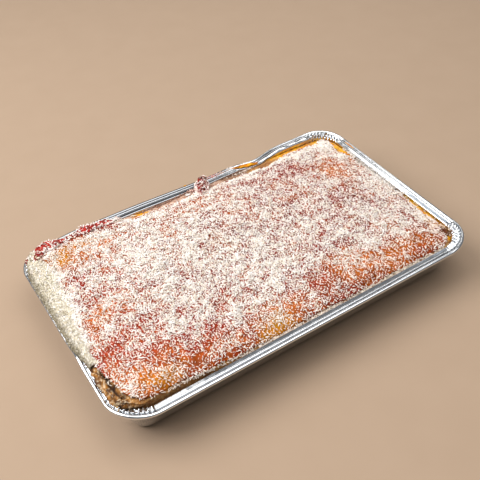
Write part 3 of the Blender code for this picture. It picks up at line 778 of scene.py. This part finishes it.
def add_shreds(name, place, normal, length, colour, slot, chance, tilt=22, slim=SLIM, stands_for=None,
               material=None, soaked=None, kept=slice(None)):
    """Shreds: three stations along each, a three-sided section that tapers to both ends, and a bow of a share
    of the length. Each one is turned at random about the normal, then tilted and rolled. slim is the least
    and most width over length. soaked colours the two lower edges, where it isn't the shred's own. kept picks
    the ones that are made, after the draws for all of them."""
    count = len(place)
    turn = chance.uniform(0, 2 * np.pi, count)[:, None]
    tip = np.radians(chance.normal(0, tilt, count))[:, None]
    roll = np.radians(chance.uniform(-60, 60, count))[:, None]
    sideways = unit(np.cross(np.broadcast_to((0.0, 1.0, 0.0), normal.shape), normal))
    along = np.cos(turn) * sideways + np.sin(turn) * np.cross(normal, sideways)
    across = np.cross(normal, along)
    along, up = np.cos(tip) * along + np.sin(tip) * normal, np.cos(tip) * normal - np.sin(tip) * along
    across, up = np.cos(roll) * across + np.sin(roll) * up, np.cos(roll) * up - np.sin(roll) * across
    station = np.array([-1.0, 0.0, 1.0])[None, :, None]
    taper = np.array([0.55, 1.0, 0.45])[None, :, None]
    corner = np.radians([90, 210, 330])[None, None, :]
    width = length * chance.uniform(*slim, count)
    thickness = width * chance.uniform(0.45, 0.8, count)
    bow = length * chance.uniform(-0.04, 0.11, count)
    sway = length * chance.uniform(-0.08, 0.08, count)
    width, thickness, bow, sway, half = (a[:, None, None] for a in (width, thickness, bow, sway, length / 2))
    side = np.cos(corner) * width / 2 * taper + sway * (1 - station**2)
    rise = np.sin(corner) * thickness / 2 * taper + bow * (1 - station**2)
    local = xyz(half * station, side, rise)
    basis = np.stack((along, across, up), axis=1)
    points = (place[:, None, None, :] + np.einsum("nscj,njk->nsck", local, basis))[kept]
    quads = grid_faces(3, 3, around=True)
    caps = np.array([(0, 2, 1), (6, 7, 8)])
    starts = (np.arange(len(points)) * 9)[:, None, None]
    faces = [(quads + starts).reshape(-1, 4), (caps + starts).reshape(-1, 3)]
    lower = colour if soaked is None else soaked
    tint = with_fourth(np.tile(np.stack((colour, lower, lower), axis=1), (1, 3, 1)), 0.0)[kept]
    return add_piece(name, points, faces, material or COCONUT, slot, tint, stands_for, smooth=False)


def shred_lengths(chance, count, middle=0.0022, least=0.0012):
    """Lengths drawn round a middle one and kept from the least to the longest."""
    return np.clip(chance.normal(middle, LENGTH_SPREAD, count), least, LONGEST)


def coconut_colour(count, chance, stain_and_painted_light, share):
    """Mostly white, some cream, a few warm grey, each with some of a second colour: the stain of what it lies
    in, but on the bank a painted grey-olive shade.
    """
    pick = chance.random(count)[:, None]
    white, cream, grey = linear("#fbf5ed"), linear("#f2e5d2"), linear("#d6c7b8")
    plain = np.where(pick < 0.66, white, np.where(pick < 0.90, cream, grey))
    soaked = np.clip(chance.normal(share, share * 0.8, count), 0, 0.75)
    return mix(plain, stain_and_painted_light, soaked)


def even_places(count, chance):
    """The n-th place is n times 0.7549 and n times 0.5698 without their whole parts, moved by a part of the
    spacing. Any first part of the list is spread evenly. Gives n over the count, and u and v from -1 to 1."""
    order = np.arange(count)
    shares = (order[:, None] * np.array([0.7548776662, 0.5698402910])) % 1.0
    shares = shares + chance.normal(0, 0.60 / math.sqrt(count), shares.shape)
    return order / count, *(shares * 2 - 1).T


def scatter_on_cake(chance):
    """Coconut over the jam: places spread evenly, the first of them kept in proportion to -ln(1 - cover),
    about what it takes to hide that share of a surface. Where it is thick, some lie on top of others."""
    tries = int(4 * SPONGE_HALF_X * SPONGE_HALF_Y * THICKEST / SHRED_AREA)
    order, u, v = even_places(tries, chance)
    u = np.clip(u, -1, 1) * 1.003
    v = np.clip(v, -1, 1) * 1.004
    place = food_points(u, v, JAM_INSET, jam_draw, jam_top)[4]
    cover = cover_share(place[:, 0], place[:, 1])
    kept = order < -np.log(1 - cover) / THICKEST
    place, cover = place[kept], cover[kept]
    x, y = place[:, 0], place[:, 1]
    count = len(place)
    lift = chance.uniform(-0.0001, 0.0003 + 0.0009 * cover**3, count)
    place = place + xyz(0.0, 0.0, lift)
    normal = surface_normal(sponge_top, x, y)
    length = shred_lengths(chance, count, 0.0020, 0.0009)
    stain_and_painted_light = mix(jam_colour(x, y), "#f4a45c", np.full(count, 0.4))
    colour = coconut_colour(count, chance, stain_and_painted_light, 0.01 + 0.05 * (1 - cover))
    # The shreds' two lower edges take more of the jam's colour where less coconut lies: partly jam soaked
    # into them, partly painted light bounced up from the jam
    soaked = mix(colour, stain_and_painted_light, np.clip(0.80 - cover, 0.04, 0.40))
    for part, first in enumerate(range(0, count, PIECE_SHREDS)):
        some = slice(first, first + PIECE_SHREDS)
        laid = (a[some] for a in (place, normal, length, colour))
        name = f"coconut_on_jam_{part + 1}"
        add_shreds(name, *laid, "jam_layer", chance, soaked=soaked[some])


def left_outline(y, inset):
    """X of the tray's left outline moved in by an inset: straight, with part of a circle at both ends."""
    over = np.maximum(0, np.abs(y) - CORNER_Y)
    radius = CORNER_RADIUS - inset
    return -HALF_LENGTH + inset + radius - np.sqrt(radius**2 - over**2)


def drift_side(y):
    """X of the cake's left side under the bank."""
    return left_outline(y, SPONGE_INSET) - OVERHANG


def drift_surface(t, y):
    """The bank's face for t from 0 at its foot on the rim, 0.5 at the cake's side, to 1 at its end on it.
    Below the brow it climbs as sin^0.8; on the cake it thins with the square of the reach."""
    share = drift_share(y)
    side = drift_side(y)
    toe = side + (left_outline(y, BEAD * 0.4) - side) * (0.35 + 0.65 * share)
    inner = side + OVERHANG + drift_reach(y)
    rim = TRAY_DEPTH + GAP + CORNER_LIFT * ease((y - 0.058) / 0.012)
    thickness = DRIFT_THICKNESS * (0.5 + 0.5 * share)
    lower = np.clip(t * 2, 0, 1)
    upper = np.clip(t * 2 - 1, 0, 1)
    x = toe + (side - toe) * lower + (inner - side) * upper
    crown = sponge_top(np.maximum(side + 0.001, x), y) + thickness * (1.15 - 1.0 * upper**2)
    brow = sponge_top(side + 0.001, y) + thickness * 1.15
    climb = rim + 0.0004 + (brow - rim) * np.sin(np.pi / 2 * lower) ** 0.8
    z = np.where(t < 0.5, climb, crown)
    rough = DRIFT_ROUGH * mottle(xyz(x, y, z), 0.006, 141) * np.sin(np.pi * t) ** 0.5
    return xyz(x, y, z + rough)


def make_drift(material, chance):
    """The bank's face as a grid, a floor of the same grid under it, and shreds all over the face. Shreds more
    than a step past the face's end have nothing to lie on, so they aren't made."""
    t, y = np.meshgrid(np.linspace(0, 1, 60), np.linspace(DRIFT_FRONT, DRIFT_BACK, 170))
    face = drift_surface(t, y)
    x = face[..., 0]
    floor = np.where(x > drift_side(y), sponge_top(x, y), TRAY_DEPTH) + GAP * 0.5
    under = xyz(x, y, np.minimum(floor, face[..., 2] - 0.0002))
    colour = mix("#ddd6c6", "#b3a992", ease(0.4 + 0.6 * mottle(face, 0.005, 151)))
    add_sheet("coconut_bank", face, under, with_fourth(colour, 0.0), material, "coconut_drift")
    count = DRIFT_SHREDS
    t = chance.uniform(0.02, 1.06, count)
    y = chance.uniform(DRIFT_FRONT - 0.002, DRIFT_BACK + 0.006, count)
    on_face = np.clip(t, 0, 1)
    step = 0.02
    kept = t - step < 1
    before = np.where(kept, np.maximum(0, t - step), 0)
    along_t = drift_surface(np.clip(t + step, 0, 1), y) - drift_surface(before, y)
    along_y = drift_surface(on_face, y + 0.0006) - drift_surface(on_face, y - 0.0006)
    normal = unit(np.cross(along_t, along_y))
    place = drift_surface(on_face, y) + normal * chance.uniform(-0.0002, 0.0007, count)[:, None]
    length = shred_lengths(chance, count)
    # Painted shade: the bank's shreds are mixed with grey-olive, and with a darker olive toward the foot, for
    # the shade that lies over the bank and is deepest at its foot
    foot = 1 - ease(t / 0.60)
    colour = coconut_colour(count, chance, linear("#c6b992"), 0.40)
    colour = mix(colour, "#857a5e", np.clip(foot * 0.90 + chance.normal(0, 0.17, count), 0, 0.9))
    add_shreds("coconut_on_bank", place, normal, length, colour, "coconut_drift", chance, 24, kept=kept)


def spill_surface(run, across, length):
    """A ridge along the cake's back edge and round the left corner, for a run from its thin end: half the
    width·across sideways, and on what it lies on, the ledge and the cake's edge, the height times the root of
    1 - across², made uneven."""
    turn = np.maximum(0, run - SPILL_START - CORNER_X) / (CORNER_RADIUS - SPILL_INSET)
    core_x = np.maximum(-CORNER_X, SPILL_START - run)
    normal = xyz(-np.sin(turn), np.cos(turn), 0.0)
    reach = CORNER_RADIUS - SPILL_INSET + wall_push(core_x, normal[..., 1])
    middle = xyz(core_x, CORNER_Y, 0.0) + normal * reach[..., None]
    ends = ease(np.minimum(run, length - run) / 0.010 + 0.12)
    size = ends * (0.86 + 0.22 * soft_noise(middle, 0.009, 161))
    out = SPILL_WIDTH / 2 * across * size * (1 + 0.18 * soft_noise(middle + across[..., None], 0.004, 162))
    place = middle + normal * out[..., None]
    x, y = place[..., 0], place[..., 1]
    on_cake = ease((tray_inset(x, y) - FLANGE + 0.0010) / 0.0042)
    ledge = TRAY_DEPTH - 0.0002 + CORNER_LIFT * ease((run - 0.045) / 0.02)
    base = ledge + on_cake * (np.maximum(ledge, jam_top(x, y)) + 0.0003 - ledge)
    bump = 0.35 + 0.65 * (1 + mottle(place, 0.005, 165)) / 1.4
    height = base + SPILL_HEIGHT * size * np.sqrt(np.maximum(0, 1 - across**2)) * bump
    return place + xyz(0.0, 0.0, height)


def make_spill(material, chance):
    """The ridge of jam as a grid with a flat underside, and shreds thickest along both its edges."""
    length = SPILL_START + CORNER_X + SPILL_TURN * (CORNER_RADIUS - SPILL_INSET)
    run, across = np.meshgrid(np.linspace(0, length, 190), np.linspace(-1, 1, 30), indexing="ij")
    face = spill_surface(run, across, length)
    under = face.copy()
    under[..., 2] = np.minimum(face[..., 2] - 0.0002, WALL_TOP - 0.0002)
    colour = mix("#b01a14", "#780f10", ease(0.5 + mottle(face, 0.006, 171)))
    add_sheet("boiled_over_jam", face, under, with_fourth(colour, 0.12), material, "jam_spill")
    count = SPILL_SHREDS
    run = chance.uniform(-0.002, length, count)
    inner = chance.normal(-0.94, 0.16, count)
    outer = chance.normal(0.88, 0.16, count)
    pick = chance.random(count)
    across = np.where(pick < 0.34, inner, np.where(pick < 0.74, outer, chance.uniform(-1, 1, count)))
    place = spill_surface(np.clip(run, 0, length), np.clip(across, -1.0, 1.0), length)
    place[:, 2] += chance.uniform(0, 0.0005, count)
    each = shred_lengths(chance, count)
    browned = ease((run - length + 0.014) / 0.012)
    colour = coconut_colour(count, chance, linear("#a83026"), 0.08)
    colour = mix(colour, "#b08a3e", browned * chance.uniform(0, 0.9, count))
    normal = np.broadcast_to((0.0, 0.0, 1.0), place.shape)
    add_shreds("coconut_on_spill", place, normal, each, colour, "jam_spill", chance, 26)


def lump_surface(turn, rise):
    """A squashed ball: (cos turn·cos rise, sin turn·cos rise, sin rise), swollen by noise and turned."""
    ball = xyz(np.cos(turn) * np.cos(rise), np.sin(turn) * np.cos(rise), np.sin(rise))
    ball = ball * (1 + 0.34 * mottle(ball, 0.6, 181))[..., None] * np.array(LUMP_SIZE) / 2
    c, s = math.cos(LUMP_TURN), math.sin(LUMP_TURN)
    x = LUMP_PLACE[0] + c * ball[..., 0] - s * ball[..., 1]
    y = LUMP_PLACE[1] + s * ball[..., 0] + c * ball[..., 1]
    return xyz(x, y, TRAY_DEPTH + GAP + LUMP_SIZE[2] / 2 + ball[..., 2])


def make_lump(material, chance):
    """The squashed ball as rings closed by a pole at each end, with shreds round its edge."""
    turns = np.linspace(0, 2 * np.pi, 64, endpoint=False)
    rises = np.linspace(-np.pi / 2, np.pi / 2, 34)[1:-1]
    rings = lump_surface(*np.meshgrid(turns, rises))
    poles = lump_surface(np.zeros(2), np.array([-np.pi / 2, np.pi / 2]))
    points = np.concatenate((rings.reshape(-1, 3), poles))
    colour = mix("#8c120c", "#520a09", ease(0.5 + mottle(points, 0.004, 191)))
    faces = ball_faces(len(rises), len(turns))
    add_piece("jam_lump_core", points, faces, material, "jam_lump", with_fourth(colour, 0.1))
    count = LUMP_SHREDS
    turn = chance.uniform(0, 2 * np.pi, count)
    low = np.abs(chance.normal(0, 0.36, count)) - 0.1
    rise = np.where(chance.random(count) < 0.87, low, chance.uniform(0.2, 1.5, count))
    place = lump_surface(turn, rise)
    normal = unit(place - np.array([*LUMP_PLACE, TRAY_DEPTH]))
    length = shred_lengths(chance, count, 0.0023)
    colour = coconut_colour(count, chance, linear("#a83026"), 0.28)
    place = place + normal * 0.0002
    add_shreds("coconut_on_lump", place, normal, length, colour, "jam_lump", chance, 26)


def make_fallen(name, groups, material, size, slim, rise, chance):
    """Loose bits: each group is spread by a normal draw and laid at the height of what is under them."""
    spread = np.array([group[:4] for group in groups]) * MM
    shade = np.stack([linear(group[5]) for group in groups])
    which = np.repeat(np.arange(len(groups)), [group[4] for group in groups])
    count = len(which)
    x, y = (
        spread[which, axis] + np.clip(chance.normal(0, 0.6, count), -1.2, 1.2) * spread[which, axis + 2]
        for axis in (0, 1)
    )
    left = ease((-0.146 - x) / 0.003) * (y < 0)
    height = rest_height(x, y) + chance.uniform(0.0002, 0.0007, count) + left * chance.uniform(0, rise, count)
    place = xyz(x, y, height)
    normal = np.broadcast_to((0.0, 0.0, 1.0), place.shape)
    length = np.clip(chance.normal(size, size * 0.28, count), size * 0.5, size * 1.6)
    colour = np.minimum(shade[which] * chance.uniform(0.75, 1.15, count)[:, None], 0.93)
    add_shreds(name, place, normal, length, colour, "coconut_drift", chance, 30, slim, (), material)


def make_smears(material):
    """Syrup that ran on the rim: flat domes, height·(1 - r²), in rings round a middle with a wavy outline."""
    rings = np.linspace(0, 1, 9)[1:]
    turns = np.linspace(0, 2 * np.pi, 72, endpoint=False)
    share, turn = np.meshgrid(rings, turns, indexing="ij")
    for number, (x, y, half_x, half_y, lean, height) in enumerate(SMEARS):
        wavy = 1 + 0.45 * mottle(xyz(np.cos(turn), np.sin(turn), number), 0.5, 201)
        dx = np.cos(turn) * half_x * MM * share * wavy
        dy = np.sin(turn) * half_y * MM * share * wavy - dx * math.tan(math.radians(lean))
        base = TRAY_DEPTH - 0.0003
        dome = xyz(x * MM + dx, y * MM + dy, base + height * MM * (1 - share**2))
        poles = [(x * MM, y * MM, base + height * MM), (x * MM, y * MM, WALL_TOP)]
        points = np.concatenate((dome.reshape(-1, 3), poles))
        colour = mix("#e09a1c", "#c0700c", ease(0.5 + mottle(points, 0.005, 205)))
        faces = ball_faces(len(rings), len(turns))
        tint = with_fourth(colour, 0.0)
        add_piece(f"syrup_smear_{number + 1}", points, faces, material, "jam_spill", tint, stands_for=())


def add_node(tree, kind, settings=(), links=()):
    """Adds a shader node, sets its sockets and properties, and links sockets to it."""
    node = tree.nodes.new("ShaderNode" + kind)
    for key, value in dict(settings).items():
        if isinstance(key, int) or key in node.inputs:
            node.inputs[key].default_value = value
        else:
            setattr(node, key, value)
    join(tree, node, links)
    return node


def join(tree, node, links):
    """Links each named input of a node to its source."""
    for key, source in dict(links).items():
        tree.links.new(source, node.inputs[key])


def new_material(name, **sockets):
    """A material whose Principled shader has the given values on its own sockets."""
    material = bpy.data.materials.new(name)
    material.use_nodes = True
    tree = material.node_tree
    surface = tree.nodes["Principled BSDF"]
    for key, value in sockets.items():
        surface.inputs[key.replace("_", " ").title().replace("Ior", "IOR")].default_value = value
    return material, tree, surface, add_node(tree, "TexCoord").outputs["Object"]


def noise(tree, place, pitch, detail):
    """The value of a noise texture whose pattern repeats at about the given pitch."""
    settings = {"Scale": 1 / pitch, "Detail": detail}
    return add_node(tree, "TexNoise", settings, {"Vector": place}).outputs["Fac"]


def tinted(tree, place, pitch, low, high):
    """The mesh's own tint times a noise of the given pitch that runs from low to high. Gives the tint's
    fourth channel, the noise and the colour."""
    tint = add_node(tree, "Attribute", {"attribute_name": "tint"})
    speckle = noise(tree, place, pitch, 3)
    level = add_node(tree, "MapRange", {**NOISE_RANGE, "To Min": low, "To Max": high}, {"Value": speckle})
    links = {0: tint.outputs["Color"], "Scale": level.outputs["Result"]}
    scaled = add_node(tree, "VectorMath", {"operation": "SCALE"}, links)
    return tint.outputs["Alpha"], speckle, scaled.outputs["Vector"]


def rolled_aluminium_foil():
    """Aluminium rolled thin and pressed over a former: a bright grey mirror, nearly plain on the straight
    rims, broken up by fine crinkles where it was crumpled, with painted shade in its folds from the tint."""
    material, tree, surface, place = new_material("rolled_aluminium_foil", metallic=1.0, roughness=0.14)
    # The tint brings the painted shade. The noise beside it sets only the roughness.
    crumpled, painted_shade_and_dullness, colour = tinted(tree, place, 0.006, 0.92, 1.0)
    rough = add_node(tree, "MapRange", {**NOISE_RANGE, "To Min": 0.08, "To Max": 0.20}, {"Value": painted_shade_and_dullness})
    settings = {"Scale": 420, "Detail": 2, "Roughness": 0.5, "Distortion": 0.6}
    crinkle = add_node(tree, "TexNoise", settings, {"Vector": place}).outputs["Fac"]
    bump = add_node(tree, "Bump", {"Distance": 0.00014}, {"Height": crinkle, "Strength": crumpled})
    links = {"Base Color": colour, "Roughness": rough.outputs["Result"], "Normal": bump.outputs["Normal"]}
    join(tree, surface, links)
    return material


def baked_sponge():
    """Butter sponge, baked and torn: matt and open, with pores of about a millimetre, brown at the crust, and
    glossy only where syrup soaked in."""
    material, tree, surface, place = new_material("baked_sponge", roughness=0.85, ior=1.45)
    gloss, _, colour = tinted(tree, place, 0.0022, 0.72, 1.12)
    rough = add_node(tree, "MapRange", {"To Min": 0.88, "To Max": 0.22}, {"Value": gloss})
    pores = add_node(tree, "TexVoronoi", {"Scale": 1 / 0.0011}, {"Vector": place}).outputs["Distance"]
    bump = add_node(tree, "Bump", {"Strength": 0.7, "Distance": 0.0006}, {"Height": pores})
    links = {"Base Color": colour, "Roughness": rough.outputs["Result"], "Normal": bump.outputs["Normal"]}
    join(tree, surface, links)
    return material


def boiled_jam():
    """Sieved raspberry and apricot jam, boiled to set: deep, wet and clear enough that light goes in a
    millimetre or two, with soft dents where it dried, and grains of coconut dust by the tint's fourth
    channel. The dust is about 0.2 mm in the real cake and drawn at 0.9 mm, so that it shows."""
    material, tree, surface, place = new_material(
        "boiled_jam", roughness=0.3, ior=1.42, specular_ior_level=0.15,
        subsurface_weight=0.02, subsurface_scale=0.0012, subsurface_radius=(1.0, 0.30, 0.15),
    )
    dusty, speckle, colour = tinted(tree, place, 0.0035, 0.50, 1.10)
    grains = noise(tree, place, 0.0009, 1)
    share = add_node(tree, "MapRange", {"From Min": 0.50, "From Max": 0.62}, {"Value": grains})
    dust = add_node(tree, "Math", {"operation": "MULTIPLY"}, {0: share.outputs["Result"], 1: dusty})
    settings = {"data_type": "RGBA", 7: (*linear("#dcb898"), 1)}
    dusted = add_node(tree, "Mix", settings, {0: dust.outputs["Value"], 6: colour}).outputs[2]
    rough = add_node(tree, "MapRange", {**NOISE_RANGE, "To Min": 0.20, "To Max": 0.42}, {"Value": speckle})
    dents = noise(tree, place, 0.0016, 2)
    bump = add_node(tree, "Bump", {"Strength": 0.5, "Distance": 0.0006}, {"Height": dents})
    links = {"Base Color": dusted, "Roughness": rough.outputs["Result"], "Normal": bump.outputs["Normal"]}
    join(tree, surface, links)
    return material


def desiccated_coconut():
    """Coconut flesh, shredded and dried: white, matt and slightly see-through, with fine fibres. The fibres
    are about 0.1 mm wide in the real shreds and drawn at 0.3 mm, so that they show."""
    material, tree, surface, place = new_material(
        "desiccated_coconut", roughness=0.6, ior=1.45,
        subsurface_weight=0.06, subsurface_scale=0.0005, subsurface_radius=(1.0, 0.9, 0.75),
    )
    colour = tinted(tree, place, 0.0012, 0.90, 1.04)[2]
    fibres = noise(tree, place, 0.0003, 2)
    bump = add_node(tree, "Bump", {"Strength": 0.3, "Distance": 0.0001}, {"Height": fibres})
    join(tree, surface, {"Base Color": colour, "Normal": bump.outputs["Normal"]})
    return material


def painted_board():
    """Board with a matt paint: plain, pale and warm, with the faintest mottle from the roller."""
    material, tree, surface, place = new_material("painted_board", roughness=0.9)
    settings = {"data_type": "RGBA", 6: (*linear("#9b846d"), 1), 7: (*linear("#a08972"), 1)}
    colour = add_node(tree, "Mix", settings, {0: noise(tree, place, 1 / 30, 2)}).outputs[2]
    join(tree, surface, {"Base Color": colour})
    return material


def make_floor():
    """A plain square, flat at Z = 0."""
    half = 2.5
    mesh = bpy.data.meshes.new("floor")
    corners = [(-half, -half, 0), (half, -half, 0), (half, half, 0), (-half, half, 0)]
    mesh.from_pydata(corners, [], [(0, 1, 2, 3)])
    mesh.materials.append(painted_board())
    floor = bpy.data.objects.new("floor", mesh)
    bpy.context.scene.collection.objects.link(floor)


def add_softbox(name, place, aim, size, power, colour):
    """An oblong area light at a place, turned so that its own -Z points at aim."""
    light = bpy.data.lights.new(name, "AREA")
    light.shape = "RECTANGLE"
    light.size, light.size_y = size
    light.energy = power
    light.color = linear(colour)
    lamp = bpy.data.objects.new(name, light)
    lamp.location = place
    away = Vector(place) - Vector(aim)
    lamp.rotation_euler = away.to_track_quat("Z", "Y").to_euler()
    bpy.context.scene.collection.objects.link(lamp)


def make_light():
    """A large soft key at the left and a little behind, one overhead, and a dim pale sky. Small soft ones
    stand where the rims mirror them: one for the left rim, one for the right end of the back rim, and two
    for the right rim, the second one dimmer and bluish."""
    add_softbox("key", (-0.85, 0.40, 1.10), (0, 0, 0), (1.0, 1.0), 27, "#fbfbfd")
    add_softbox("overhead", (0.22, -0.2, 1.5), (0.05, 0, 0), (1.4, 1.4), 19.5, "#fbfbfd")
    add_softbox("behind", (-0.008, 0.66, 1.007), (-0.15, -0.03, 0.036), (0.42, 0.34), 0.75, "#fffdfa")
    add_softbox("card", (0.545, 0.416, 0.456), (0.1545, 0.015, 0.036), (0.11, 0.20), 0.17, "#fffdfa")
    add_softbox("blue_card", (0.572, 0.299, 0.481), (0.1545, -0.045, 0.036), (0.12, 0.14), 0.036, "#dde8f4")
    add_softbox("back_card", (0.407, 0.565, 0.447), (0.09, 0.0955, 0.036), (0.14, 0.12), 0.13, "#fffdfa")
    world = bpy.data.worlds.new("pale_sky")
    world.use_nodes = True
    background = world.node_tree.nodes["Background"]
    background.inputs["Color"].default_value = (*linear("#f2f4f8"), 1)
    background.inputs["Strength"].default_value = 0.22
    bpy.context.scene.world = world
    bpy.context.scene.view_settings.view_transform = "Standard"


def make_camera():
    """The photo's camera: its place, and its axes as the columns of its turn."""
    forward = np.array((0.37481204, 0.63031314, -0.67986858))
    right = np.array((0.84001646, -0.54118359, -0.03863518))
    up = np.cross(right, forward)
    data = bpy.data.cameras.new("camera")
    data.lens = 54.76
    data.sensor_width = 36
    data.clip_start = 0.01
    camera = bpy.data.objects.new("camera", data)
    turned = np.eye(4)
    turned[:3, :3] = np.stack((right, up, -forward), axis=1)
    turned[:3, 3] = (-0.2217, -0.36595, 0.4410)
    camera.matrix_world = Matrix(turned.tolist())
    bpy.context.scene.collection.objects.link(camera)
    bpy.context.scene.camera = camera


COCONUT = desiccated_coconut()


def main():
    chance = np.random.default_rng(7)
    jam = boiled_jam()
    sponge = baked_sponge()
    make_camera()
    make_floor()
    make_light()
    make_foil_tray(rolled_aluminium_foil())
    make_sponge(sponge)
    make_jam(jam)
    scatter_on_cake(chance)
    make_drift(COCONUT, chance)
    make_spill(jam, chance)
    make_lump(jam, chance)
    make_fallen("fallen_coconut", FALLEN_COCONUT, COCONUT, 0.0018, (0.35, 0.60), 0.0005, chance)
    make_fallen("fallen_crumbs", FALLEN_CRUMBS, sponge, 0.0012, (0.80, 1.20), 0.0040, chance)
    make_smears(jam)


main()
